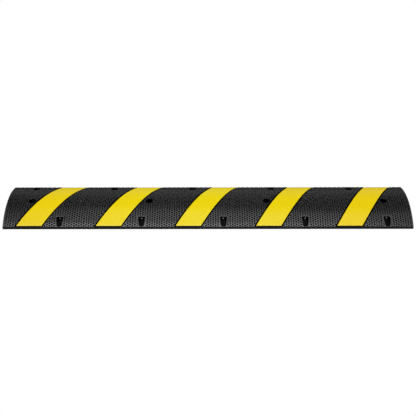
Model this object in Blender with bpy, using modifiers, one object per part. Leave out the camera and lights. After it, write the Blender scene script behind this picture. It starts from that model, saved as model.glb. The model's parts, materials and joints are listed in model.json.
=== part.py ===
"""Rubber speed bump, six feet long, crowned section, with five slanted reflective tape stripes
and ten glass bead reflectors.

Frame: +X along the length, +Y across the bump from front to rear, +Z up. The origin is the
middle of the underside, on the road. Units are metres. The section is the same front and rear.
"""
import math

import bmesh
import bpy

# ---------------------------------------------------------------- driving dimensions
LENGTH = 1.8288          # 6 ft module
WIDTH = 0.2776           # across the bump at the road, about 11 in
HEIGHT = 0.047           # road to crest
CROWN_HALF = 0.140       # half width of the crown's curve, a little outside the lip
LIP = 0.009              # height of the crown's curve at that half width
LIP_Y = 0.1355           # top of the drafted lip, where the crown stops
CROWN_POWER = 2.14       # exponent of the crown, 2 would be a parabola
SECTION_STEPS = 28       # facets across the crown's full curve
ARC_STEPS = 200          # chords summed to measure along the crown
ARC_HALVINGS = 48        # bisections to find a place from its arc length
WELD = 0.000001          # merge distance for the body's mesh

GAP = 0.0003             # clearance between neighbouring pieces

# Cable channels under the body, either side of the middle
CHANNEL_Y = 0.048
CHANNEL_W = 0.030
CHANNEL_H = 0.025
CHANNEL_STEPS = 8

# Bolt holes along the middle
BOLT_X = (-0.8000, -0.2667, 0.2667, 0.8000)
BOLT_SEAT_R = 0.01525    # recess for head and washer
BOLT_SEAT_Z = 0.022      # rubber left under the head
BOLT_SEAT_OVER = 0.02    # how far the seat's cutter stands above the crest
BOLT_SEAT_SIDES = 32
BOLT_HOLE_R = 0.0070     # clearance for a half inch lag bolt
BOLT_HOLE_UNDER = 0.01   # how far the hole's cutter reaches below the road
BOLT_HOLE_OVERLAP = 0.004    # how far it reaches up into the seat
BOLT_HOLE_SIDES = 24

# Tape stripes and the smooth recesses they lie in
STRIPE_X = (-0.7145, -0.3605, -0.0050, 0.3530, 0.7140)   # where each stripe crosses the crest
STRIPE_SLANT = 0.607     # metres along the bump per metre of arc over the crown
TAPE_HALF_X = 0.0557     # half of the tape's width, measured along the bump (95 mm tape)
TAPE_END = 0.0106        # tape end to the end of the crown's curve, along the arc
TAPE_THICK = 0.0007
TAPE_BORDER = 0.0075     # smooth rubber either side of the tape, measured along the bump
RECESS_DEPTH = 0.0015
RECESS_CUTTER_THICK = 0.008
ROW_MARGIN = 0.0005      # section stations closer than this to a band's end are left out

# Reflector pockets, in a front and a rear row
POCKETS_PER_ROW = 5
POCKET_PITCH = LENGTH / POCKETS_PER_ROW
ROWS = (                 # name, sign of Y, X of the row's third pocket
    ("front", -1.0, 0.069),
    ("rear", 1.0, -0.072),
)
POCKET_IN = 0.0900       # |Y| of the upright wall that holds the reflector
POCKET_OUT = 0.1335      # |Y| of the shallow end, towards the lip
POCKET_W_IN = 0.0310
POCKET_W_OUT = 0.0220
POCKET_Z_IN = 0.0115     # floor height at the reflector
POCKET_Z_OUT = 0.0085    # floor height at the shallow end
POCKET_TOP = HEIGHT + 0.015      # top of the pocket's cutter, clear of the crest
POCKET_CORNER_IN = 0.0030
POCKET_CORNER_OUT = 0.0070
POCKET_CORNER_STEPS = 3
SAME_PLACE = 1e-6        # tolerance for picking the pocket's corner edges

# Reflectors; depths are measured from the pocket's wall
LENS_Z = 0.0190          # reflector axis above the road
LENS_R = 0.0046
LENS_DOME = 0.0026       # height of the domed face
LENS_DOME_STEPS = 4
LENS_BACK = 0.0074
LENS_CHAMFER = 0.0012    # around the back of the lens
CUP_WALL = 0.0008
CUP_BACK = 0.0010
CUP_PROUD = 0.0005       # how far the rim stands out of the wall
CUP_INNER_R = LENS_R + GAP
CUP_R = CUP_INNER_R + CUP_WALL
CUP_FLOOR = LENS_BACK + GAP
CUP_DEPTH = CUP_FLOOR + CUP_BACK
BORE_OUT = 0.004         # how far the bore's cutter reaches out of the wall
BORE_SIDES = 24
TURN_STEPS = 20
TURN_WELD = 0.00005


# ---------------------------------------------------------------- scene helpers
for stale in list(bpy.data.objects):
    bpy.data.objects.remove(stale, do_unlink=True)

scene = bpy.context.scene
parts = bpy.data.collections.new("rubber_speed_bump")
scene.collection.children.link(parts)
cutters = bpy.data.collections.new("cutters")
scene.collection.children.link(cutters)

root = bpy.data.objects.new("speed_bump_origin", None)
parts.objects.link(root)


def material(name, colour, roughness, metallic=0.0, transmission=0.0):
    mat = bpy.data.materials.new(name)
    mat.use_nodes = True
    inputs = mat.node_tree.nodes["Principled BSDF"].inputs
    inputs["Base Color"].default_value = (*colour, 1.0)
    inputs["Roughness"].default_value = roughness
    inputs["Metallic"].default_value = metallic
    inputs["Transmission Weight"].default_value = transmission
    mat.diffuse_color = (*colour, 1.0)
    return mat


RUBBER = material("black_rubber", colour=(0.018, 0.018, 0.019), roughness=0.72)
TAPE = material("yellow_tape", colour=(0.82, 0.61, 0.01), roughness=0.38)
GLASS = material("lens_glass", colour=(0.85, 0.88, 0.90), roughness=0.05, transmission=0.8)
CUP = material("reflector_cup", colour=(0.78, 0.79, 0.80), roughness=0.22, metallic=1.0)


def new_object(name, mesh):
    obj = bpy.data.objects.new(name, mesh)
    scene.collection.objects.link(obj)
    return obj


def move_to(collection, obj):
    for holder in list(obj.users_collection):
        holder.objects.unlink(obj)
    collection.objects.link(obj)


def keep(obj, mat):
    """Put an object among the parts, with its material, under the origin empty."""
    move_to(parts, obj)
    obj.data.materials.append(mat)
    obj.parent = root


def cut(target, tool):
    """Cut target with tool, and put the tool away among the cutters."""
    move_to(cutters, tool)
    tool.hide_render = True
    tool.display_type = "WIRE"
    mod = target.modifiers.new("cut_" + tool.name, "BOOLEAN")
    mod.operation = "DIFFERENCE"
    mod.solver = "EXACT"
    mod.object = tool


def cylinder(name, radius, z0, z1, sides, x=0.0):
    """An upright cylinder from z0 to z1, on the bump's middle line."""
    bpy.ops.mesh.primitive_cylinder_add(
        vertices=sides, radius=radius, depth=z1 - z0, location=(x, 0.0, (z0 + z1) / 2.0)
    )
    obj = bpy.context.object
    obj.name = name
    obj.data.name = name
    return obj


# ---------------------------------------------------------------- the crown
def crown_z(y):
    return LIP + (HEIGHT - LIP) * (1.0 - abs(y / CROWN_HALF) ** CROWN_POWER)


def crown_normal(y):
    """Outward unit normal of the crown in the Y-Z plane."""
    t = abs(y / CROWN_HALF)
    fall = (HEIGHT - LIP) * CROWN_POWER * t ** (CROWN_POWER - 1.0) / CROWN_HALF
    slope = -math.copysign(fall, y)
    size = math.hypot(1.0, slope)
    return -slope / size, 1.0 / size


def arc_at(y):
    """Distance over the crown from the crest to y, negative towards the front."""
    total, last = 0.0, (0.0, crown_z(0.0))
    for i in range(1, ARC_STEPS + 1):
        step_y = y * i / ARC_STEPS
        point = (step_y, crown_z(step_y))
        total += math.hypot(point[0] - last[0], point[1] - last[1])
        last = point
    return math.copysign(total, y)


def y_at(arc):
    """The inverse of arc_at, by bisection."""
    low, high = -CROWN_HALF, CROWN_HALF
    for _ in range(ARC_HALVINGS):
        mid = (low + high) / 2.0
        if arc_at(mid) < arc:
            low = mid
        else:
            high = mid
    return (low + high) / 2.0


SECTION_Y = [CROWN_HALF * (2.0 * i / SECTION_STEPS - 1.0) for i in range(SECTION_STEPS + 1)]
HALF_ARC = arc_at(CROWN_HALF)


def chord_z(y):
    """Height at y on the straight chord between neighbouring section stations."""
    k = int((y / CROWN_HALF + 1.0) / 2.0 * SECTION_STEPS)
    k = min(max(k, 0), SECTION_STEPS - 1)
    y0, y1 = SECTION_Y[k], SECTION_Y[k + 1]
    share = (y - y0) / (y1 - y0)
    return crown_z(y0) + (crown_z(y1) - crown_z(y0)) * share


# ---------------------------------------------------------------- rubber body
def channel_outline(centre):
    """(y, z) points of a round topped channel, from its +Y foot to its -Y foot."""
    radius = CHANNEL_W / 2.0
    points = [(centre + radius, 0.0)]
    for i in range(CHANNEL_STEPS + 1):
        angle = math.pi * i / CHANNEL_STEPS
        points.append((centre + radius * math.cos(angle),
                       CHANNEL_H - radius + radius * math.sin(angle)))
    points.append((centre - radius, 0.0))
    return points


def body_outline():
    """(y, z) points of the section, over the crown towards +Y and back along the road."""
    outline = [(-WIDTH / 2.0, 0.0), (-LIP_Y, crown_z(LIP_Y))]
    outline += [(y, crown_z(y)) for y in SECTION_Y[1:-1]]
    outline += [(LIP_Y, crown_z(LIP_Y)), (WIDTH / 2.0, 0.0)]
    outline += channel_outline(CHANNEL_Y)
    outline += channel_outline(-CHANNEL_Y)
    return outline


def build_body():
    """Extrude the section as a filled curve, then turn it into a welded mesh."""
    outline = body_outline()
    section = bpy.data.curves.new("body_section", "CURVE")
    section.dimensions = "2D"
    section.fill_mode = "BOTH"
    section.extrude = LENGTH / 2.0
    line = section.splines.new("POLY")
    line.points.add(len(outline) - 1)
    for point, (y, z) in zip(line.points, outline):
        point.co = (y, z, 0.0, 1.0)
    line.use_cyclic_u = True

    section_obj = new_object("body_section", section)
    # the curve's own X, Y and Z become the bump's Y, Z and X
    section_obj.rotation_euler = (math.pi / 2.0, 0.0, math.pi / 2.0)
    bpy.context.view_layer.update()

    mesh = bpy.data.meshes.new_from_object(
        section_obj.evaluated_get(bpy.context.evaluated_depsgraph_get())
    )
    mesh.name = "rubber_body"
    bm = bmesh.new()
    bm.from_mesh(mesh)
    bmesh.ops.remove_doubles(bm, verts=bm.verts, dist=WELD)
    bmesh.ops.recalc_face_normals(bm, faces=bm.faces)
    bm.to_mesh(mesh)
    bm.free()

    obj = new_object("rubber_body", mesh)
    obj.matrix_world = section_obj.matrix_world.copy()
    bpy.data.objects.remove(section_obj, do_unlink=True)
    keep(obj, RUBBER)
    return obj


body = build_body()


# ---------------------------------------------------------------- tape stripes
def band(name, centre_x, half_x, end_arc, lift, thickness):
    """A slanted band that follows the crown's facets, lifted and thickened outwards."""
    end_y = y_at(end_arc)
    rows = [-end_y] + [y for y in SECTION_Y if abs(y) < end_y - ROW_MARGIN] + [end_y]
    sheet = bmesh.new()
    bmesh.ops.create_grid(sheet, x_segments=1, y_segments=len(rows) - 1, size=1.0)
    for vert in sheet.verts:
        side = 1.0 if vert.co.x > 0.0 else -1.0
        y = rows[int(round((vert.co.y + 1.0) / 2.0 * (len(rows) - 1)))]
        normal_y, normal_z = crown_normal(y)
        x = centre_x + STRIPE_SLANT * arc_at(y) + side * half_x
        vert.co = (x, y + normal_y * lift, chord_z(y) + normal_z * lift)
    bmesh.ops.recalc_face_normals(sheet, faces=sheet.faces)
    if sum(face.normal.z for face in sheet.faces) < 0.0:
        bmesh.ops.reverse_faces(sheet, faces=sheet.faces)
    mesh = bpy.data.meshes.new(name)
    sheet.to_mesh(mesh)
    sheet.free()

    obj = new_object(name, mesh)
    mod = obj.modifiers.new("thickness", "SOLIDIFY")
    mod.thickness = thickness
    mod.offset = 1.0
    return obj


for number, stripe_x in enumerate(STRIPE_X, start=1):
    # the recess runs out over both lips, the tape stops short of them
    cut(body, band("cut_stripe_%d" % number, stripe_x, half_x=TAPE_HALF_X + TAPE_BORDER,
                   end_arc=HALF_ARC, lift=-RECESS_DEPTH, thickness=RECESS_CUTTER_THICK))
    keep(band("tape_stripe_%d" % number, stripe_x, half_x=TAPE_HALF_X,
              end_arc=HALF_ARC - TAPE_END, lift=-RECESS_DEPTH + GAP, thickness=TAPE_THICK),
         TAPE)


# ---------------------------------------------------------------- holes for the fixings
for number, bolt_x in enumerate(BOLT_X, start=1):
    cut(body, cylinder("cut_bolt_seat_%d" % number, BOLT_SEAT_R, z0=BOLT_SEAT_Z,
                       z1=HEIGHT + BOLT_SEAT_OVER, sides=BOLT_SEAT_SIDES, x=bolt_x))
    cut(body, cylinder("cut_bolt_hole_%d" % number, BOLT_HOLE_R, z0=-BOLT_HOLE_UNDER,
                       z1=BOLT_SEAT_Z + BOLT_HOLE_OVERLAP, sides=BOLT_HOLE_SIDES, x=bolt_x))


# ---------------------------------------------------------------- pockets and reflectors
def pocket_cutter(name):
    """A tapered block with a sloping floor, lying on the -Y side of the object's origin."""
    bpy.ops.mesh.primitive_cube_add(size=2.0)
    obj = bpy.context.object
    obj.name = name
    obj.data.name = name
    block = bmesh.new()
    block.from_mesh(obj.data)
    for vert in block.verts:
        inner = vert.co.y > 0.0
        half = (POCKET_W_IN if inner else POCKET_W_OUT) / 2.0
        floor = POCKET_Z_IN if inner else POCKET_Z_OUT
        vert.co = (
            math.copysign(half, vert.co.x),
            -POCKET_IN if inner else -POCKET_OUT,
            POCKET_TOP if vert.co.z > 0.0 else floor,
        )
    for y, radius in ((-POCKET_IN, POCKET_CORNER_IN), (-POCKET_OUT, POCKET_CORNER_OUT)):
        upright = [edge for edge in block.edges
                   if abs(edge.verts[0].co.x - edge.verts[1].co.x) < SAME_PLACE
                   and all(abs(vert.co.y - y) < SAME_PLACE for vert in edge.verts)]
        bmesh.ops.bevel(block, geom=upright, offset=radius, segments=POCKET_CORNER_STEPS,
                        profile=0.5, affect="EDGES")
    block.to_mesh(obj.data)
    block.free()
    return obj


def bore_cutter(name):
    """A cylinder along local Z, from the bore's blind end to outside the pocket's wall."""
    bore = cylinder(name, CUP_R + GAP, z0=-(CUP_DEPTH + GAP), z1=BORE_OUT, sides=BORE_SIDES)
    # moves the offset into the mesh, so the object's origin can sit on the wall
    bore.data.transform(bore.matrix_world)
    return bore


def turned(name, profile):
    """Turn a profile of (radius, height) points about local Z with a Screw modifier."""
    mesh = bpy.data.meshes.new(name)
    mesh.from_pydata([(radius, 0.0, z) for radius, z in profile],
                     [(i, i + 1) for i in range(len(profile) - 1)], [])
    obj = new_object(name, mesh)
    screw = obj.modifiers.new("turn", "SCREW")
    screw.axis = "Z"
    screw.steps = TURN_STEPS
    screw.render_steps = TURN_STEPS
    screw.use_merge_vertices = True
    screw.merge_threshold = TURN_WELD
    screw.use_smooth_shade = True
    return obj


def lens_profile():
    """A spherical cap in front of a plain barrel with a chamfered back."""
    sphere_r = (LENS_R ** 2 + LENS_DOME ** 2) / (2.0 * LENS_DOME)
    spread = math.asin(LENS_R / sphere_r)
    dome = [(0.0, LENS_DOME)]
    for i in range(1, LENS_DOME_STEPS + 1):
        angle = spread * i / LENS_DOME_STEPS
        dome.append((sphere_r * math.sin(angle),
                     LENS_DOME - sphere_r + sphere_r * math.cos(angle)))
    return dome + [(LENS_R, -LENS_BACK + LENS_CHAMFER), (LENS_R - LENS_CHAMFER, -LENS_BACK),
                   (0.0, -LENS_BACK)]


def cup_profile():
    return [(0.0, -CUP_FLOOR), (CUP_INNER_R, -CUP_FLOOR), (CUP_INNER_R, CUP_PROUD),
            (CUP_R, CUP_PROUD), (CUP_R, -CUP_DEPTH), (0.0, -CUP_DEPTH)]


def set_in_wall(obj, x, towards):
    """Put an object on the pocket's wall, its local Z pointing out of the wall."""
    obj.location = (x, towards * POCKET_IN, LENS_Z)
    obj.rotation_euler = (-towards * math.pi / 2.0, 0.0, 0.0)
    return obj


def build_reflector(tag, x, towards):
    """One pocket, its bore, and the lens and cup in it; towards is the row's sign of Y."""
    pocket = pocket_cutter("cut_pocket_" + tag)
    pocket.location = (x, 0.0, 0.0)
    pocket.rotation_euler = (0.0, 0.0, math.pi if towards > 0.0 else 0.0)
    cut(body, pocket)
    cut(body, set_in_wall(bore_cutter("cut_bore_" + tag), x, towards))
    keep(set_in_wall(turned("reflector_lens_" + tag, lens_profile()), x, towards), GLASS)
    keep(set_in_wall(turned("reflector_cup_" + tag, cup_profile()), x, towards), CUP)


for row_name, row_side, middle_x in ROWS:
    for i in range(POCKETS_PER_ROW):
        build_reflector("%s_%d" % (row_name, i + 1),
                        middle_x + (i - POCKETS_PER_ROW // 2) * POCKET_PITCH, row_side)

bpy.context.view_layer.update()
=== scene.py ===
"""Looks for a rubber speed bump: moulded honeycomb tread, laid tape, bead reflectors.

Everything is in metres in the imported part's frame: +X along the bump, +Y across it, +Z up,
the origin in the middle of the underside. "Front" is the -Y side, where the camera stands.
"Arc" is the distance measured over the crown from its ridge, positive towards +Y.
"""
import json
import math

import bmesh
import bpy
import numpy as np
from mathutils import Matrix, Vector

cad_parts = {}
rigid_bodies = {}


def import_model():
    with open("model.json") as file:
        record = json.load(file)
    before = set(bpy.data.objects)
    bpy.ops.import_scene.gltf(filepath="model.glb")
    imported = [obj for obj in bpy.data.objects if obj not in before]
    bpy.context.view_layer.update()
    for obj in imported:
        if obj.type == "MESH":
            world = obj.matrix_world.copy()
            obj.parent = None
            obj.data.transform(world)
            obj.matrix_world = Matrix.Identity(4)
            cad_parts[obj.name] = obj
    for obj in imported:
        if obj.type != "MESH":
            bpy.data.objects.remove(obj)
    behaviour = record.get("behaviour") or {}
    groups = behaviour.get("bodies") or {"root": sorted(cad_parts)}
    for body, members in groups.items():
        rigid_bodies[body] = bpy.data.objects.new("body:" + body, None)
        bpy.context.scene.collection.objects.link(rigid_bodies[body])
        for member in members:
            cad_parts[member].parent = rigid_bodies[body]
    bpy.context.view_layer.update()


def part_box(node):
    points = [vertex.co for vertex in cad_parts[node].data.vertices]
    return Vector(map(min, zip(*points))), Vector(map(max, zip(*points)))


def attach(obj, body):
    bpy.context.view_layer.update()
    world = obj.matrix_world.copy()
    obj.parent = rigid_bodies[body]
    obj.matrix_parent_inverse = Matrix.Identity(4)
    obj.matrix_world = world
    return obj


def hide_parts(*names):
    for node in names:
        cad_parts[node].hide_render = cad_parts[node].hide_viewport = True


for stale in list(bpy.data.objects):
    bpy.data.objects.remove(stale, do_unlink=True)

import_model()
scene = bpy.context.scene

# ------------------------------------------------------------------ sizes
body_low, body_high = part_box("rubber_body")
LENGTH = body_high.x - body_low.x
WIDTH = body_high.y - body_low.y
HEIGHT = body_high.z - body_low.z

# crown: z falls from HEIGHT at the ridge to CROWN_EDGE_Z at y = CROWN_HALF
CROWN_EDGE_Z = 0.009
CROWN_HALF = 0.140
CROWN_POWER = 2.14
LIP_Y = 0.1355                     # where the crown meets the drafted lip
FOOT_ROUND, LIP_ROUND = 0.0010, 0.0016
END_CHAMFER = 0.0009

# channels along the underside
CHANNEL_Y, CHANNEL_W, CHANNEL_H = 0.048, 0.030, 0.025
CHANNEL_CHAMFER = 0.0008

# bolts
BOLT_X = (-0.8000, -0.2667, 0.2667, 0.8000)
BOLT_SEAT_R, BOLT_SEAT_Z, BOLT_HOLE_R = 0.01525, 0.022, 0.0070
BOLT_CHAMFER = 0.0008

# slanted tape stripes, their recesses and the grooves beside them
STRIPE_X = (-0.7145, -0.3605, -0.0050, 0.3530, 0.7140)
STRIPE_SLANT = 0.607               # x gained per unit of arc
TAPE_HALF_X = 0.0557
TAPE_END = 0.0106                  # from the tape's end to the crown's edge
TAPE_BORDER = 0.0075
TAPE_TOP, TAPE_UNDER = 0.00060, 0.00140    # depths below the crown
RECESS_HALF = TAPE_HALF_X + TAPE_BORDER
RECESS_END = 0.1515                # the recess runs out over both lips
RECESS_DEPTH = 0.0015
GROOVE_IN, GROOVE_OUT = TAPE_HALF_X + 0.0004, RECESS_HALF - 0.0003
GROOVE_END = RECESS_END - 0.0002
GROOVE_DEPTH = 0.0032
GROOVE_INSET = 0.0004              # each edge of the groove's floor, in from its wall

# reflector pockets: IN is the wall nearer the ridge, OUT the one nearer the lip
POCKET_PITCH = LENGTH / 5.0
POCKET_FRONT, POCKET_REAR = 0.069, -0.072  # x of the middle pocket of each row
POCKET_IN, POCKET_OUT = 0.0900, 0.1335
POCKET_W_IN, POCKET_W_OUT = 0.0310, 0.0220
POCKET_Z_IN, POCKET_Z_OUT = 0.0115, 0.0085

# glass bead lens in its metal cup
LENS_Z = 0.0190
LENS_R, LENS_DOME, LENS_BACK = 0.0046, 0.0026, 0.0074
GAP, CUP_WALL, CUP_BACK, CUP_PROUD = 0.0003, 0.0008, 0.0010, 0.0005
CUP_INNER_R = LENS_R + GAP
CUP_R = CUP_INNER_R + CUP_WALL
CUP_FLOOR = LENS_BACK + GAP
CUP_DEPTH = CUP_FLOOR + CUP_BACK

# honeycomb tread
COLUMN = 0.01088                   # column spacing along the bump
ROW = 0.0100                       # pit spacing down a column, seen from above
COLUMN_START = 0.0012
PIT = 0.0070                       # a pit's width across flats, below its chamfer
PIT_CHAMFER = 0.0004
PIT_DEPTH = 0.0042
# width of the smooth margin round each feature
STRIPE_MARGIN, POCKET_MARGIN, BOLT_MARGIN, END_MARGIN = 0.0018, 0.0045, 0.0030, 0.0045


# ------------------------------------------------------------------ the crown
def crown_z(y):
    return CROWN_EDGE_Z + (HEIGHT - CROWN_EDGE_Z) * (1.0 - np.abs(y / CROWN_HALF) ** CROWN_POWER)


def crown_normal(y):
    """The (y, z) parts of the crown's unit normal."""
    share = np.abs(y / CROWN_HALF)
    slope = (-(HEIGHT - CROWN_EDGE_Z) * CROWN_POWER * share ** (CROWN_POWER - 1.0)
             / CROWN_HALF * np.sign(y))
    size = np.hypot(1.0, slope)
    return -slope / size, 1.0 / size


Y_TABLE = np.linspace(-0.153, 0.153, 6121)
ARC_TABLE = np.concatenate([[0.0], np.cumsum(np.hypot(np.diff(Y_TABLE),
                                                      np.diff(crown_z(Y_TABLE))))])
ARC_TABLE -= ARC_TABLE[len(ARC_TABLE) // 2]


def y_of(arc):
    return np.interp(arc, ARC_TABLE, Y_TABLE)


def arc_of(y):
    return np.interp(y, Y_TABLE, ARC_TABLE)


def on_crown(x, arc, depth):
    """Points at x along the bump, an arc over the crown and a depth below it."""
    y = y_of(arc)
    normal_y, normal_z = crown_normal(y)
    return np.stack([x + 0.0 * y, y - normal_y * depth, crown_z(y) - normal_z * depth], -1)


def stripe_offset(x, arc, centre):
    """Distance along X from a stripe's centre line."""
    return np.abs(x - centre - STRIPE_SLANT * arc)


# ------------------------------------------------------------------ mesh helpers
def signed_volume(verts, faces):
    total = 0.0
    for face in faces:
        first = verts[face[0]]
        for i in range(1, len(face) - 1):
            total += np.dot(first, np.cross(verts[face[i]], verts[face[i + 1]]))
    return total / 6.0


def loft(rings):
    """Vertices and faces of a closed loft through rings of equal length."""
    count = len(rings[0])
    verts = np.concatenate([np.asarray(ring, float) for ring in rings])
    faces = []
    for k in range(len(rings) - 1):
        here, after = k * count, (k + 1) * count
        for i in range(count):
            j = (i + 1) % count
            faces.append((here + i, here + j, after + j, after + i))
    faces.append(tuple(range(count - 1, -1, -1)))
    faces.append(tuple(range((len(rings) - 1) * count, len(rings) * count)))
    if signed_volume(verts - verts.mean(0), faces) < 0.0:
        faces = [face[::-1] for face in faces]
    return verts, faces


def prism(plan, bottom, top):
    """An upright solid over a plan in (X, Y)."""
    return loft([np.column_stack([plan, np.full(len(plan), z)]) for z in (bottom, top)])


def turned(profile, place, sides=48):
    """A closed solid turned about local Z from (radius, height) rings; place maps points."""
    angle = np.arange(sides) * 2 * math.pi / sides
    return loft([place(np.column_stack([radius * np.cos(angle), radius * np.sin(angle),
                                        np.full(sides, z)])) for radius, z in profile])


def mesh_object(name, solids):
    """One object from several (vertices, faces) solids."""
    verts, faces, base = [], [], 0
    for solid_verts, solid_faces in solids:
        verts.append(solid_verts)
        faces.extend(tuple(i + base for i in face) for face in solid_faces)
        base += len(solid_verts)
    mesh = bpy.data.meshes.new(name)
    mesh.from_pydata(np.concatenate(verts).tolist(), [], faces)
    mesh.update()
    obj = bpy.data.objects.new(name, mesh)
    scene.collection.objects.link(obj)
    return obj


def bake_modifiers(obj):
    """Replace an object's mesh by its evaluated one."""
    depsgraph = bpy.context.evaluated_depsgraph_get()
    mesh = bpy.data.meshes.new_from_object(obj.evaluated_get(depsgraph), depsgraph=depsgraph)
    obj.modifiers.clear()
    old = obj.data
    obj.data = mesh
    bpy.data.meshes.remove(old)
    mesh.name = obj.name


def subtract(obj, tool):
    modifier = obj.modifiers.new("cut", "BOOLEAN")
    modifier.operation = "DIFFERENCE"
    modifier.solver = "MANIFOLD"
    modifier.object = tool
    bake_modifiers(obj)
    mesh = tool.data
    bpy.data.objects.remove(tool, do_unlink=True)
    bpy.data.meshes.remove(mesh)


def outward(polygon):
    """Mitred outward offsets at the corners of a counter-clockwise 2D polygon."""
    before, after = polygon - np.roll(polygon, 1, 0), np.roll(polygon, -1, 0) - polygon
    before /= np.linalg.norm(before, axis=1)[:, None]
    after /= np.linalg.norm(after, axis=1)[:, None]
    normal_before = np.stack([before[:, 1], -before[:, 0]], 1)
    normal_after = np.stack([after[:, 1], -after[:, 0]], 1)
    mitre = normal_before + normal_after
    mitre /= (np.linalg.norm(mitre, axis=1) ** 2)[:, None] / 2.0
    return mitre


def rounded(polygon, radii, steps):
    """A counter-clockwise convex polygon with its corners rounded."""
    corners = np.asarray(polygon, float)
    radii = np.broadcast_to(radii, len(corners))
    points = []
    for i, corner in enumerate(corners):
        radius = float(radii[i])
        back = corners[i - 1] - corner
        ahead = corners[(i + 1) % len(corners)] - corner
        back, ahead = back / np.linalg.norm(back), ahead / np.linalg.norm(ahead)
        half = math.acos(float(np.clip(np.dot(back, ahead), -1, 1))) / 2.0
        reach = radius / math.tan(half)
        centre = corner + (back + ahead) / np.linalg.norm(back + ahead) * radius / math.sin(half)
        start = math.atan2(*(corner + back * reach - centre)[::-1])
        stop = math.atan2(*(corner + ahead * reach - centre)[::-1])
        while stop < start:
            stop += 2 * math.pi
        for k in range(steps + 1):
            angle = start + (stop - start) * k / steps
            points.append(centre + radius * np.array([math.cos(angle), math.sin(angle)]))
    return np.array(points)


# ------------------------------------------------------------------ the moulded blank
def channel_points(centre):
    """A round-topped channel with chamfered mouth edges."""
    radius = CHANNEL_W / 2.0
    points = [(centre - radius - CHANNEL_CHAMFER, 0.0), (centre - radius, CHANNEL_CHAMFER)]
    for i in range(17):
        angle = math.pi - math.pi * i / 16
        points.append((centre + radius * math.cos(angle),
                       CHANNEL_H - radius + radius * math.sin(angle)))
    return points + [(centre + radius, CHANNEL_CHAMFER),
                     (centre + radius + CHANNEL_CHAMFER, 0.0)]


def foot_points(side):
    """The rounded bottom edge."""
    points = []
    for i in range(4):
        angle = math.pi / 2 * i / 3
        points.append((side * (WIDTH / 2.0 - FOOT_ROUND + FOOT_ROUND * math.sin(angle)),
                       FOOT_ROUND - FOOT_ROUND * math.cos(angle)))
    return points


def blank_outline():
    """Counter-clockwise section in (Y, Z): underside with its channels, lips, crown."""
    # the rounded corner between the drafted lip and the crown turns between their normals
    normal_y, normal_z = crown_normal(LIP_Y)
    lean = math.atan2(float(normal_z), float(normal_y))
    draft = math.atan2(WIDTH / 2.0 - LIP_Y, float(crown_z(LIP_Y)))
    reach = LIP_ROUND * math.tan((lean - draft) / 2.0)
    touch_y = LIP_Y - reach * math.sin(lean)
    centre_y = touch_y - LIP_ROUND * math.cos(lean)
    centre_z = float(crown_z(touch_y)) - LIP_ROUND * math.sin(lean)

    def lip_points(side):
        points = []
        for i in range(5):
            angle = draft + (lean - draft) * i / 4
            points.append((side * (centre_y + LIP_ROUND * math.cos(angle)),
                           centre_z + LIP_ROUND * math.sin(angle)))
        return points

    points = foot_points(-1)[::-1] + channel_points(-CHANNEL_Y) + channel_points(CHANNEL_Y)
    points += foot_points(1) + lip_points(1)
    edge = float(arc_of(touch_y)) - 0.0006
    for arc in np.linspace(edge, -edge, 67):
        y = float(y_of(arc))
        points.append((y, float(crown_z(y))))
    return np.array(points + lip_points(-1)[::-1])


def blank():
    """The section run along X, chamfered at both ends but not along the underside."""
    outline = blank_outline()
    inner = outline - outward(outline) * END_CHAMFER
    inner[:, 1] = np.maximum(inner[:, 1], 0.0)
    inner[outline[:, 1] < 1e-6, 1] = 0.0
    stations = np.linspace(-LENGTH / 2 + END_CHAMFER, LENGTH / 2 - END_CHAMFER, 85)
    sections = [(-LENGTH / 2, inner)] + [(x, outline) for x in stations] + [(LENGTH / 2, inner)]
    return loft([np.column_stack([np.full(len(section), x), section])
                 for x, section in sections])


body = mesh_object("bump_body", [blank()])


def cut(name, solids):
    subtract(body, mesh_object(name, solids))


# ------------------------------------------------------------------ recesses and grooves
def band(centre, section, arc_end, rows=72):
    """A slanted band. section is [(x offset, depth, extra arc at both ends)]."""
    rings = []
    for k, arc in enumerate(np.linspace(-arc_end, arc_end, rows)):
        ring = []
        for offset, depth, extra in section:
            flare = math.copysign(extra, arc) if k in (0, rows - 1) else 0.0
            ring.append(on_crown(centre + STRIPE_SLANT * arc + offset, arc + flare, depth))
        rings.append(np.array(ring))
    return loft(rings)


def recess_section():
    """A flat floor between walls that flare where they meet the crown."""
    right = [(RECESS_HALF, RECESS_DEPTH, 0.0), (RECESS_HALF + 0.0003, 0.0005, 0.0003),
             (RECESS_HALF + 0.0008, -0.0001, 0.0007), (RECESS_HALF + 0.0008, -0.003, 0.0007)]
    left = [(-offset, depth, extra) for offset, depth, extra in right]
    return left[:1] + right + left[:0:-1]


def groove_section(side):
    """The groove between a tape's land and the recess wall, on one side."""
    inner, outer = side * GROOVE_IN, side * GROOVE_OUT
    return [(inner + side * GROOVE_INSET, GROOVE_DEPTH, 0.0),
            (outer - side * GROOVE_INSET, GROOVE_DEPTH, 0.0),
            (outer, 0.0016, 0.0), (outer, 0.0008, 0.0),
            (inner, 0.0008, 0.0), (inner, 0.0016, 0.0)]


cut("cut_recess", [band(x, recess_section(), RECESS_END) for x in STRIPE_X])
for side in (-1.0, 1.0):
    cut("cut_groove", [band(x, groove_section(side), GROOVE_END) for x in STRIPE_X])

# ------------------------------------------------------------------ pockets and bolt holes
# (x, turn, tag): turn is 1 for a pocket facing front, -1 for one facing the rear
pockets = [(start + (i - 2) * POCKET_PITCH, turn, "%s_%d" % (row, i + 1))
           for row, start, turn in (("front", POCKET_FRONT, 1.0), ("rear", POCKET_REAR, -1.0))
           for i in range(5)]


def in_pocket_frame(x, y, pocket_x, turn):
    """Offset along the bump from a pocket's middle, and distance out from the ridge."""
    return (x - pocket_x) * turn, -y * turn


def pocket_share(out):
    """0 at the pocket's inner wall, 1 at its outer one."""
    return (out - POCKET_IN) / (POCKET_OUT - POCKET_IN)


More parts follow.
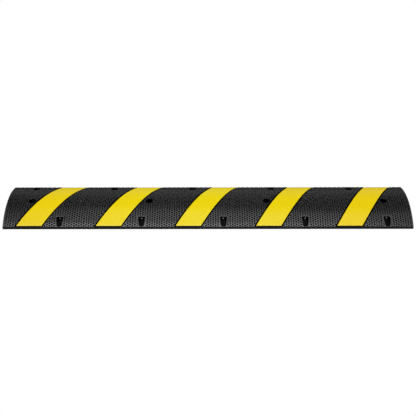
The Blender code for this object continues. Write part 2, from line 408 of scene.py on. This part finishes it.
def pocket_floor(out):
    return POCKET_Z_IN + (POCKET_Z_OUT - POCKET_Z_IN) * pocket_share(out)


def pocket_solid(x, turn):
    half_out, half_in = POCKET_W_OUT / 2, POCKET_W_IN / 2
    plan = rounded([(-half_out, -POCKET_OUT), (half_out, -POCKET_OUT),
                    (half_in, -POCKET_IN), (-half_in, -POCKET_IN)],
                   (0.0070, 0.0070, 0.0030, 0.0030), 6)
    offsets = outward(plan)
    top = crown_z(plan[:, 1])
    floor_z = pocket_floor(-plan[:, 1])
    # (growth of the plan, height): rounded floor edge, wall, flared rim, clear above
    levels = ((-0.0020, floor_z), (-0.0009, floor_z + 0.0004), (-0.0003, floor_z + 0.0013),
              (0.0, top - 0.0009), (0.0003, top - 0.0003), (0.0009, top + 0.0001),
              (0.0009, top + 0.02))
    rings = [np.column_stack([plan + offsets * grow, z]) for grow, z in levels]
    return loft([ring * np.array([turn, turn, 1.0]) + np.array([x, 0.0, 0.0])
                 for ring in rings])


def facing(x, turn):
    """Maps a turned piece's local Z to the direction the pocket faces."""
    def place(points):
        return np.column_stack([x + turn * points[:, 0], -turn * (POCKET_IN + points[:, 2]),
                                LENS_Z + points[:, 1]])
    return place


def upright(x):
    def place(points):
        return points + np.array([x, 0.0, 0.0])
    return place


BORE_R = CUP_R + GAP
BORE = [(BORE_R, -CUP_DEPTH - GAP), (BORE_R, -0.0011), (BORE_R + 0.0007, -0.0002),
        (BORE_R + 0.0007, 0.0030)]
SEAT = [(BOLT_SEAT_R, BOLT_SEAT_Z), (BOLT_SEAT_R, HEIGHT - 0.0016),
        (BOLT_SEAT_R + 0.0004, HEIGHT - 0.0008), (BOLT_SEAT_R + 0.0012, HEIGHT - 0.0001),
        (BOLT_SEAT_R + 0.0012, HEIGHT + 0.01)]
HOLE_MOUTH_R = BOLT_HOLE_R + BOLT_CHAMFER
HOLE = [(HOLE_MOUTH_R, -0.004), (HOLE_MOUTH_R, 0.0), (BOLT_HOLE_R, BOLT_CHAMFER),
        (BOLT_HOLE_R, BOLT_SEAT_Z - BOLT_CHAMFER), (HOLE_MOUTH_R, BOLT_SEAT_Z),
        (HOLE_MOUTH_R, BOLT_SEAT_Z + 0.004)]

cut("cut_pocket", [pocket_solid(x, turn) for x, turn, _ in pockets])
cut("cut_bore", [turned(BORE, facing(x, turn), 40) for x, turn, _ in pockets])
cut("cut_seat", [turned(SEAT, upright(x), 64) for x in BOLT_X])
cut("cut_hole", [turned(HOLE, upright(x), 40) for x in BOLT_X])


# ------------------------------------------------------------------ honeycomb tread
def kept_clear(x, arc):
    """True where the moulding is smooth: stripes, pocket margins, bolt rims, ends."""
    y = y_of(arc)
    clear = np.abs(x) > LENGTH / 2 - END_MARGIN
    for centre in STRIPE_X:
        clear |= stripe_offset(x, arc, centre) < RECESS_HALF + STRIPE_MARGIN
    for pocket_x, turn, _ in pockets:
        along, out = in_pocket_frame(x, y, pocket_x, turn)
        share = np.clip(pocket_share(out), 0, 1)
        half = (POCKET_W_IN + (POCKET_W_OUT - POCKET_W_IN) * share) / 2 + POCKET_MARGIN
        clear |= (np.abs(along) < half) & (out > POCKET_IN - POCKET_MARGIN)
    for bolt_x in BOLT_X:
        clear |= np.hypot(x - bolt_x, arc) < BOLT_SEAT_R + BOLT_MARGIN
    return clear


def pit_centres():
    """Centres of the pits that lie mostly on tread, on a staggered grid seen from above."""
    columns = int(LENGTH / 2 / COLUMN) + 1
    centres = []
    for i in range(-columns, columns + 1):
        shift = 0.5 if i % 2 == 0 else 0.0
        for j in range(-15, 15):
            y = (j + shift) * ROW
            if abs(y) < LIP_Y:
                centres.append((COLUMN_START + i * COLUMN, y))
    x, y = np.array(centres).T
    # sample each pit at its centre and on two circles
    spots = [(0.0, 0.0)] + [(radius * math.cos(angle), radius * math.sin(angle))
                            for radius in (0.0018, 0.0034)
                            for angle in np.arange(6) * math.pi / 3]
    share = np.zeros(len(x))
    for step_x, step_y in spots:
        share += ~kept_clear(x + step_x, arc_of(y + step_y))
    share /= len(spots)
    # pits near the lip stay only when whole
    keep = share > np.where(np.abs(y) > LIP_Y - 0.004, 0.99, 0.40)
    return x[keep], y[keep]


def tread_pits():
    """All the hexagonal pits as one (vertices, faces) solid."""
    centre_x, centre_y = pit_centres()
    count = len(centre_x)
    mouth = PIT + 2 * PIT_CHAMFER + 0.0002
    # (width across flats, depth below the crown)
    levels = [(mouth, -0.0020), (mouth, -0.0001), (PIT, PIT_CHAMFER), (PIT - 0.0005, PIT_DEPTH)]
    verts = np.zeros((count, len(levels), 6, 3))
    for k, (flats, depth) in enumerate(levels):
        radius = flats / math.sqrt(3)
        for m, angle in enumerate(np.arange(6) * math.pi / 3):
            y = centre_y + radius * math.sin(angle)
            verts[:, k, m] = np.column_stack([centre_x + radius * math.cos(angle), y,
                                              crown_z(y) - depth])
    _, pit_faces = loft(list(verts[count // 2]))
    step = len(levels) * 6
    faces = [tuple(i + pit * step for i in face) for pit in range(count) for face in pit_faces]
    return verts.reshape(-1, 3), faces


def keep_out_solids():
    """What is taken away from the pits so the smooth margins stay whole."""
    half = RECESS_HALF + STRIPE_MARGIN
    section = [(-half, 0.008, 0.0), (half, 0.008, 0.0), (half, -0.006, 0.0), (-half, -0.006, 0.0)]
    solids = [band(x, section, 0.1525, rows=60) for x in STRIPE_X]
    below, above = -0.02, 0.07
    half_in, half_out = POCKET_W_IN / 2 + POCKET_MARGIN, POCKET_W_OUT / 2 + POCKET_MARGIN
    plan = rounded([(-half_out, -0.156), (half_out, -0.156), (half_out, -POCKET_OUT),
                    (half_in, -POCKET_IN + POCKET_MARGIN),
                    (-half_in, -POCKET_IN + POCKET_MARGIN), (-half_out, -POCKET_OUT)], 0.002, 3)
    for x, turn, _ in pockets:
        solids.append(prism(plan * turn + np.array([x, 0.0]), below, above))
    rim = BOLT_SEAT_R + BOLT_MARGIN
    solids += [turned([(rim, 0.03), (rim, 0.06)], upright(x)) for x in BOLT_X]
    near, far = LENGTH / 2 - END_MARGIN, LENGTH / 2 + 0.03
    end_plan = np.array([(near, -0.17), (far, -0.17), (far, 0.17), (near, 0.17)])
    return solids + [prism(end_plan * side, below, above) for side in (-1.0, 1.0)]


tread = mesh_object("cut_tread", [tread_pits()])
subtract(tread, mesh_object("cut_clear", keep_out_solids()))
subtract(body, tread)


# ------------------------------------------------------------------ shading of the body mesh
# slots 1 and 2 hold darker copies of the rubber, as painted shade
SMOOTH_SHADE_SLOT, EDGE_SHADE_SLOT = 1, 2      # slot 0 is the tread


def read_points(items, field):
    flat = np.empty(len(items) * 3, np.float32)
    items.foreach_get(field, flat)
    return flat.reshape(-1, 3).astype(float).T


def on_pocket_floor(along, out, z):
    return ((np.abs(along) < POCKET_W_IN / 2) & (out > POCKET_IN + 0.001) & (out < POCKET_OUT)
            & (z < pocket_floor(out) + 0.0006))


def add_depth_and_shade(mesh):
    """Point attribute: 0 on the crown's surface, 1 at the bottom of a pit; the rubber darkens with
    it as painted shade.
    """
    x, y, z = read_points(mesh.vertices, "co")
    _, normal_z = crown_normal(y)
    depth_and_shade = np.clip((crown_z(y) - z) * normal_z / PIT_DEPTH, 0.0, 1.0)
    depth_and_shade[(np.abs(y) > LIP_Y - 0.0008) | (z < 0.001) | (np.abs(x) > LENGTH / 2 - 0.002)] = 0.0
    for pocket_x, turn, _ in pockets:
        along, out = in_pocket_frame(x, y, pocket_x, turn)
        # painted shade: pocket floors get part of the pits' darkening
        depth_and_shade[on_pocket_floor(along, out, z)] = 0.40
    layer = mesh.attributes.new("depth_and_shade", "FLOAT", "POINT")
    layer.data.foreach_set("value", depth_and_shade.astype(np.float32))


def assign_slots(mesh):
    """Recess, pocket and bolt faces are smooth; lips, ends and pocket floors are edge. Both are
    darker, duller copies of the tread rubber: painted shade.
    """
    x, y, z = read_points(mesh.polygons, "center")
    arc = arc_of(y)
    depth = crown_z(y) - z
    smooth, under_tape = np.zeros(len(x), bool), np.zeros(len(x), bool)
    pocket_floors = np.zeros(len(x), bool)
    for centre in STRIPE_X:
        offset = stripe_offset(x, arc, centre)
        under_tape |= offset < RECESS_HALF - 0.002
        smooth |= ((offset < RECESS_HALF + 0.0007) & (np.abs(arc) < RECESS_END + 0.0006)
                   & (depth > 0.00008) & (depth < 0.006))
    for pocket_x, turn, _ in pockets:
        along, out = in_pocket_frame(x, y, pocket_x, turn)
        smooth |= ((np.abs(along) < POCKET_W_IN / 2 + 0.001) & (out > POCKET_IN - 0.012)
                   & (out < POCKET_OUT + 0.001) & (depth > 0.0005) & (z > 0.004))
        pocket_floors |= on_pocket_floor(along, out, z) & (z > 0.004)
    for bolt_x in BOLT_X:
        smooth |= ((np.hypot(x - bolt_x, y) < BOLT_SEAT_R + 0.001) & (depth > 0.0003)
                   & (z > 0.0005))
    rim = (np.abs(y) > LIP_Y - 0.0016) | (np.abs(x) > LENGTH / 2 - 0.0004)
    # faces in the smooth mask take the darker smooth rubber: painted shade
    slot = np.where(smooth, SMOOTH_SHADE_SLOT, 0).astype(np.int32)
    slot[rim & ~(under_tape & (z > 0.0085))] = EDGE_SHADE_SLOT
    # painted shade: pocket floors take the darker edge rubber
    slot[pocket_floors] = EDGE_SHADE_SLOT
    mesh.polygons.foreach_set("material_index", slot)


def smooth_shade(mesh, sharp_degrees):
    mesh.shade_smooth()
    mesh.set_sharp_from_angle(angle=math.radians(sharp_degrees))


def finish_body(obj):
    add_depth_and_shade(obj.data)
    assign_slots(obj.data)
    smooth_shade(obj.data, 36.0)
    # large faces keep their own direction, narrow chamfers turn between them
    weigh = obj.modifiers.new("weigh", "WEIGHTED_NORMAL")
    weigh.mode = "FACE_AREA"
    weigh.weight = 70
    weigh.keep_sharp = True
    bake_modifiers(obj)


# ------------------------------------------------------------------ node helpers
class Graph:
    """Small helper for building a node tree."""

    def __init__(self, tree):
        self.tree = tree

    def node(self, kind, **props):
        node = self.tree.nodes.new(kind)
        for key, value in props.items():
            setattr(node, key, value)
        return node

    def put(self, socket, value):
        """Link a socket, or set its value."""
        if isinstance(value, bpy.types.NodeSocket):
            self.tree.links.new(value, socket)
        else:
            socket.default_value = value

    def span(self, value, source, to, interpolation="LINEAR"):
        """Map the source range to another."""
        node = self.node("ShaderNodeMapRange", interpolation_type=interpolation)
        self.put(node.inputs["Value"], value)
        for key, limit in zip(("From Min", "From Max", "To Min", "To Max"), (*source, *to)):
            node.inputs[key].default_value = limit
        return node.outputs["Result"]

    def math(self, operation, *values):
        node = self.node("ShaderNodeMath", operation=operation)
        for socket, value in zip(node.inputs, values):
            self.put(socket, value)
        return node.outputs[0]

    def split(self, vector):
        node = self.node("ShaderNodeSeparateXYZ")
        self.put(node.inputs[0], vector)
        return node.outputs

    def camera_switch(self, path, lighting, seen, output):
        """Show one shader to the camera and the other to every other ray."""
        switch = self.node("ShaderNodeMixShader")
        self.put(switch.inputs[0], path.outputs["Is Camera Ray"])
        self.put(switch.inputs[1], lighting.outputs[0])
        self.put(switch.inputs[2], seen.outputs[0])
        self.put(output.inputs["Surface"], switch.outputs[0])


class Material(Graph):
    """A Principled material whose textures use object coordinates."""

    def __init__(self, name):
        self.material = bpy.data.materials.new(name)
        self.material.use_nodes = True
        super().__init__(self.material.node_tree)
        self.principled = self.tree.nodes["Principled BSDF"]
        self.coords = self.node("ShaderNodeTexCoord").outputs["Object"]

    def set(self, name, value):
        self.put(self.principled.inputs[name], value)

    def noise(self, scale, detail=2.0, rough=0.5):
        node = self.node("ShaderNodeTexNoise")
        self.put(node.inputs["Vector"], self.coords)
        node.inputs["Scale"].default_value = scale
        node.inputs["Detail"].default_value = detail
        node.inputs["Roughness"].default_value = rough
        return node.outputs["Fac"]

    def voronoi(self, scale, output="Distance"):
        node = self.node("ShaderNodeTexVoronoi")
        self.put(node.inputs["Vector"], self.coords)
        node.inputs["Scale"].default_value = scale
        return node.outputs[output]

    def grey_ramp(self, value, stops):
        """stops is [(position, (red, green, blue))]."""
        node = self.node("ShaderNodeValToRGB")
        elements = node.color_ramp.elements
        while len(elements) < len(stops):
            elements.new(0.5)
        for element, (position, colour) in zip(elements, stops):
            element.position = position
            element.color = (*colour, 1.0)
        self.put(node.inputs["Fac"], value)
        return node.outputs["Color"]

    def mix(self, factor, first, second, blend="MIX"):
        node = self.node("ShaderNodeMix", data_type="RGBA", blend_type=blend)
        self.put(node.inputs["Factor"], factor)
        for socket, value in ((node.inputs[6], first), (node.inputs[7], second)):
            self.put(socket, (*value, 1.0) if isinstance(value, tuple) else value)
        return node.outputs[2]

    def multiply(self, first, second):
        return self.mix(1.0, first, second, "MULTIPLY")

    def bump(self, height, strength, distance, normal=None):
        node = self.node("ShaderNodeBump")
        node.inputs["Strength"].default_value = strength
        node.inputs["Distance"].default_value = distance
        self.put(node.inputs["Height"], height)
        if normal is not None:
            self.put(node.inputs["Normal"], normal)
        return node.outputs["Normal"]


# ------------------------------------------------------------------ materials
def rubber(name, web, rough, specular, grain):
    """Moulded black rubber: fine granules, faint bloom on the raised web, painted shade darkening
    the pits.
    """
    mat = Material(name)
    # pit is painted shade: the colour the pits darken to
    pit = (0.0008, 0.0008, 0.0008)
    bloom = tuple(channel * 1.5 for channel in web)
    depth_and_shade = mat.node("ShaderNodeAttribute", attribute_name="depth_and_shade").outputs["Fac"]
    patches = mat.noise(scale=9.0, detail=3.0, rough=0.55)
    granules = mat.voronoi(scale=520.0, output="Color")
    bits = mat.noise(scale=1400.0, rough=0.6)
    base = mat.mix(mat.span(depth_and_shade, source=(0.15, 0.6), to=(0.0, 1.0)), web, pit)
    base = mat.mix(mat.span(patches, source=(0.3, 0.7), to=(0.0, 0.35)), base, bloom)
    specks = mat.grey_ramp(granules, [
        (0.0, (0.75, 0.75, 0.75)), (0.55, (0.92, 0.92, 0.92)),
        (0.80, (1.15, 1.15, 1.15)), (1.0, (1.9, 1.88, 1.85))])
    mat.set("Base Color", mat.multiply(base, specks))
    mat.set("Roughness", mat.math(
        "ADD", mat.span(bits, source=(0.3, 0.7), to=(rough - 0.05, rough + 0.07)),
        mat.span(depth_and_shade, source=(0.0, 1.0), to=(0.0, 0.15))))
    mat.set("IOR", 1.70)
    # painted shade: less reflection down the pits
    mat.set("Specular IOR Level",
            mat.span(depth_and_shade, source=(0.15, 0.6), to=(specular, specular * 0.08)))
    normal = mat.bump(mat.voronoi(scale=700.0), strength=0.25 * grain, distance=0.0004)
    mat.set("Normal", mat.bump(bits, strength=0.35 * grain, distance=0.0003, normal=normal))
    return mat.material


def tape_material():
    """Yellow reflective tape: beaded film, faint telegraphed grain, slight hue drift, a painted
    glow.
    """
    mat = Material("reflective_tape")
    yellow, pale, palest = (0.83, 0.662, 0.0002), (0.85, 0.678, 0.0005), (0.88, 0.715, 0.0013)
    warm_tint = (0.985, 0.92, 1.0)
    broad = mat.noise(scale=14.0)
    mottle = mat.noise(scale=110.0, rough=0.6)
    beads = mat.voronoi(scale=1500.0)
    base = mat.mix(mat.span(broad, source=(0.35, 0.65), to=(0.0, 1.0)), yellow, pale)
    base = mat.mix(mat.span(mottle, source=(0.35, 0.7), to=(0.0, 0.35)), base, palest)
    # the outer stripes are a shade warmer than those near x = -0.08
    x = mat.split(mat.coords)["X"]
    from_middle = mat.math("ABSOLUTE", mat.math("ADD", x, 0.08), 0.0)
    base = mat.mix(mat.span(from_middle, source=(0.20, 0.72), to=(0.0, 1.0)), base,
                   mat.multiply(base, warm_tint))
    sparkle = mat.grey_ramp(beads, [
        (0.0, (1.06, 1.06, 1.06)), (0.5, (1.0, 1.0, 1.0)), (1.0, (0.86, 0.86, 0.86))])
    base = mat.multiply(base, sparkle)
    mat.set("Base Color", base)
    # painted glow: the tape is no lamp, but emits a little of its own yellow to look evenly bright
    mat.set("Emission Color", base)
    mat.set("Emission Strength", 0.40)
    mat.set("Roughness", mat.span(mottle, source=(0.3, 0.7), to=(0.27, 0.35)))
    mat.set("Specular IOR Level", 0.60)
    normal = mat.bump(beads, strength=0.12, distance=0.0002)
    mat.set("Normal", mat.bump(mottle, strength=0.10, distance=0.0010, normal=normal))
    return mat.material


def glass_material():
    mat = Material("bead_glass")
    mat.set("Base Color", (0.95, 0.97, 0.98, 1.0))
    mat.set("Transmission Weight", 1.0)
    mat.set("IOR", 1.52)
    mat.set("Roughness", mat.span(mat.noise(scale=900.0), source=(0.3, 0.7), to=(0.12, 0.20)))
    return mat.material


def cup_material():
    """Bright metal with fine mottling."""
    mat = Material("bright_cup")
    dull, bright = (0.70, 0.71, 0.72), (0.86, 0.87, 0.88)
    mottle = mat.noise(scale=500.0, detail=3.0)
    mat.set("Base Color", mat.mix(mat.span(mottle, source=(0.3, 0.7), to=(0.0, 1.0)),
                                  dull, bright))
    mat.set("Metallic", 1.0)
    mat.set("Roughness", mat.span(mat.noise(scale=1300.0), source=(0.3, 0.7), to=(0.14, 0.30)))
    mat.set("Normal", mat.bump(mat.noise(scale=1600.0, detail=1.0),
                               strength=0.1, distance=0.0002))
    return mat.material


RUBBER = rubber("moulded_rubber", web=(0.0060, 0.0060, 0.0063), rough=0.30, specular=1.0,
                grain=0.6)
# painted shade: a darker, duller copy for the lips, ends and pocket floors
RUBBER_EDGE_SHADED = rubber("edge_shaded_rubber", web=(0.0037, 0.0037, 0.0038), rough=0.38, specular=0.42,
                     grain=0.6)
# painted shade: a darker, duller copy for grooves, recesses, pocket walls and bolt seats
RUBBER_SMOOTH_SHADED = rubber("smooth_shaded_rubber", web=(0.0020, 0.0020, 0.0021), rough=0.42,
                       specular=0.10, grain=0.5)
TAPE = tape_material()
GLASS = glass_material()
CUP = cup_material()

body.data.materials.clear()
for material in (RUBBER, RUBBER_SMOOTH_SHADED, RUBBER_EDGE_SHADED):
    body.data.materials.append(material)
finish_body(body)
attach(body, "root")
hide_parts("rubber_body")


def add_part(name, solid, material, sharp_degrees, node, slot):
    """One finished piece fixed to the bump."""
    obj = mesh_object(name, [solid])
    obj.data.materials.append(material)
    smooth_shade(obj.data, sharp_degrees)
    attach(obj, "root")
    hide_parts(node)


# ------------------------------------------------------------------ tape stripes
def tape_waves(x, arc, number):
    """Faint ripples, as depths: three layers, each finer and shallower than the last."""
    return (0.00005 * np.sin(x * 61.0 + arc * 37.0 + number) * np.sin(arc * 83.0 - x * 23.0)
            + 0.00003 * np.sin(x * 173.0 - arc * 149.0 + 2.0 * number)
            + 0.00002 * np.sin(x * 331.0 + arc * 407.0))


def tape_solid(number, centre):
    """One laid stripe: a thin film with soft edges, faint waves and a raised line near each end."""
    end = float(arc_of(CROWN_HALF)) - TAPE_END
    across = np.concatenate([[-1.0, -0.9965, -0.988], np.linspace(-0.97, 0.97, 29),
                             [0.988, 0.9965, 1.0]])
    side_drop = np.zeros(len(across))
    side_drop[[0, -1]], side_drop[[1, -2]], side_drop[[2, -3]] = 0.00022, 0.00008, 0.00002
    rows = np.concatenate([[-end, -end + 0.0004, -end + 0.0012],
                           np.linspace(-end + 0.003, end - 0.003, 95),
                           [end - 0.0012, end - 0.0004, end]])
    end_drop = np.zeros(len(rows))
    end_drop[[0, -1]], end_drop[[1, -2]] = 0.00018, 0.00006
    rings = []
    for arc, row_drop in zip(rows, end_drop):
        x = centre + STRIPE_SLANT * arc + across * TAPE_HALF_X
        from_end = end - abs(arc)
        crease = -0.00016 * math.exp(-((from_end - 0.0075) / 0.0011) ** 2)
        depth = TAPE_TOP + side_drop + row_drop + tape_waves(x, arc, number) + crease
        under_x = x[::-4]
        rings.append(np.concatenate([
            on_crown(x, arc + 0.0 * x, depth),
            on_crown(under_x, arc + 0.0 * under_x, TAPE_UNDER)]))
    return loft(rings)


for i, x in enumerate(STRIPE_X, start=1):
    add_part("tape_%d" % i, tape_solid(i, x), TAPE, 40.0, "tape_stripe_%d" % i, "tape")


# ------------------------------------------------------------------ reflectors
def lens_profile():
    """(radius, height): a domed front, a straight side and a rounded back."""
    dome_r = (LENS_R ** 2 + LENS_DOME ** 2) / (2.0 * LENS_DOME)
    spread = math.asin(LENS_R / dome_r)
    profile = []
    for i in range(1, 13):
        angle = spread * i / 12
        profile.append((dome_r * math.sin(angle), LENS_DOME - dome_r + dome_r * math.cos(angle)))
    back_round, back_inset = 0.0020, 0.0036
    shoulder = -LENS_BACK + back_round
    profile += [(LENS_R, -0.0006), (LENS_R, shoulder)]
    for i in range(1, 9):
        angle = math.pi / 2 * i / 9
        profile.append((LENS_R - back_inset * (1 - math.cos(angle)),
                        shoulder - back_round * math.sin(angle)))
    return profile


# (radius, height), from the middle of the cup's floor, over its rim, to the middle of its back
CUP_PROFILE = [
    (0.0006, -CUP_FLOOR), (CUP_INNER_R - 0.0008, -CUP_FLOOR),
    (CUP_INNER_R - 0.0002, -CUP_FLOOR + 0.0003), (CUP_INNER_R, -CUP_FLOOR + 0.0009),
    (CUP_INNER_R, CUP_PROUD - 0.0002), (CUP_INNER_R + 0.00015, CUP_PROUD),
    (CUP_R - 0.0002, CUP_PROUD), (CUP_R, CUP_PROUD - 0.0003),
    (CUP_R, -CUP_DEPTH + 0.0006), (CUP_R - 0.0006, -CUP_DEPTH), (0.0006, -CUP_DEPTH)]

for x, turn, tag in pockets:
    for kind, profile, material in (("lens", lens_profile(), GLASS), ("cup", CUP_PROFILE, CUP)):
        add_part("%s_%s" % (kind, tag), turned(profile, facing(x, turn)), material, 35.0,
                 "reflector_%s_%s" % (kind, tag), kind)


# ------------------------------------------------------------------ floor and world
WHITE = (1.0, 1.0, 1.0, 1.0)


def stage_material():
    """Plain white to the camera, mid grey to the light, with a painted shadow under the bump."""
    mat = bpy.data.materials.new("studio_floor")
    mat.use_nodes = True
    graph = Graph(mat.node_tree)
    graph.tree.nodes.clear()
    output = graph.node("ShaderNodeOutputMaterial")
    path = graph.node("ShaderNodeLightPath")
    seen = graph.node("ShaderNodeEmission")
    seen.inputs["Color"].default_value = WHITE
    # a painted shadow under the bump: it shows through the bolt holes and down the channels
    position = graph.split(graph.node("ShaderNodeNewGeometry").outputs["Position"])

    def within(axis, fade):
        """1 nearer the middle than the fade range, 0 beyond it."""
        return graph.span(graph.math("ABSOLUTE", position[axis]), source=fade, to=(1.0, 0.0),
                          interpolation="SMOOTHSTEP")

    both = graph.node("ShaderNodeMath", operation="MULTIPLY")
    graph.put(both.inputs[0], within("X", fade=(LENGTH / 2 - 0.07, LENGTH / 2 + 0.001)))
    graph.put(both.inputs[1], within("Y", fade=(WIDTH / 2 - 0.004, WIDTH / 2 - 0.002)))
    graph.put(seen.inputs["Strength"],
              graph.span(both.outputs[0], source=(0.0, 1.0), to=(1.0, 0.006)))
    lighting = graph.node("ShaderNodeBsdfDiffuse")
    lighting.inputs["Color"].default_value = (0.16, 0.16, 0.16, 1.0)
    graph.camera_switch(path, lighting, seen, output)
    return mat


def add_floor():
    grid = bmesh.new()
    bmesh.ops.create_grid(grid, x_segments=8, y_segments=8, size=30.0)
    mesh = bpy.data.meshes.new("floor")
    grid.to_mesh(mesh)
    grid.free()
    floor = bpy.data.objects.new("floor", mesh)
    floor.location = (0.0, 0.0, -0.0002)
    mesh.materials.append(stage_material())
    scene.collection.objects.link(floor)


def add_world():
    """White to the camera; as light, dim overhead and bright along the horizon."""
    world = bpy.data.worlds.new("studio")
    scene.world = world
    world.use_nodes = True
    graph = Graph(world.node_tree)
    graph.tree.nodes.clear()
    output = graph.node("ShaderNodeOutputWorld")
    path = graph.node("ShaderNodeLightPath")
    seen = graph.node("ShaderNodeBackground")
    seen.inputs["Color"].default_value = WHITE
    seen.inputs["Strength"].default_value = 1.0
    direction = graph.split(graph.node("ShaderNodeTexCoord").outputs["Generated"])
    strength = graph.span(direction["Z"], source=(0.02, 0.66), to=(0.32, 0.048),
                          interpolation="SMOOTHSTEP")
    lighting = graph.node("ShaderNodeBackground")
    lighting.inputs["Color"].default_value = WHITE
    graph.put(lighting.inputs["Strength"], strength)
    graph.camera_switch(path, lighting, seen, output)


add_floor()
add_world()


# ------------------------------------------------------------------ lights and camera
def softbox(name, place, aim, size, radiance):
    light = bpy.data.lights.new(name, "AREA")
    light.shape = "RECTANGLE"
    light.size, light.size_y = size
    light.energy = radiance * math.pi * size[0] * size[1]
    obj = bpy.data.objects.new(name, light)
    obj.location = place
    way = Vector(aim) - Vector(place)
    obj.rotation_euler = way.to_track_quat("-Z", "Y").to_euler()
    scene.collection.objects.link(obj)


softbox("front_top", place=(-0.10, -1.28, 2.50), aim=(0.0, 0.0, 0.0), size=(3.5, 1.3),
        radiance=2.42)
softbox("top", place=(0.1, 0.36, 2.85), aim=(0.0, 0.0, 0.0), size=(3.2, 1.4), radiance=0.58)
for name, side in (("left", -1.0), ("right", 1.0)):
    softbox(name, place=(side * 3.4, 0.45, 1.9), aim=(side * 0.3, 0.0, 0.0), size=(2.2, 2.2),
            radiance=1.7)

scene.view_settings.view_transform = "Standard"
scene.view_settings.look = "None"

CAMERA_DOWN, CAMERA_ROLL = 42.354, -0.06   # degrees below the horizon, and about the view axis

camera_data = bpy.data.cameras.new("camera")
camera_data.sensor_width = 36.0
camera_data.lens = 56.552885
camera_data.clip_end = 60.0
camera = bpy.data.objects.new("camera", camera_data)
camera.location = (0.0, -2.225381, 2.030068)
tilt = Matrix.Rotation(math.radians(90.0 - CAMERA_DOWN), 3, "X")
roll = Matrix.Rotation(math.radians(CAMERA_ROLL), 3, "Z")
camera.rotation_euler = (tilt @ roll).to_euler()
scene.collection.objects.link(camera)
scene.camera = camera
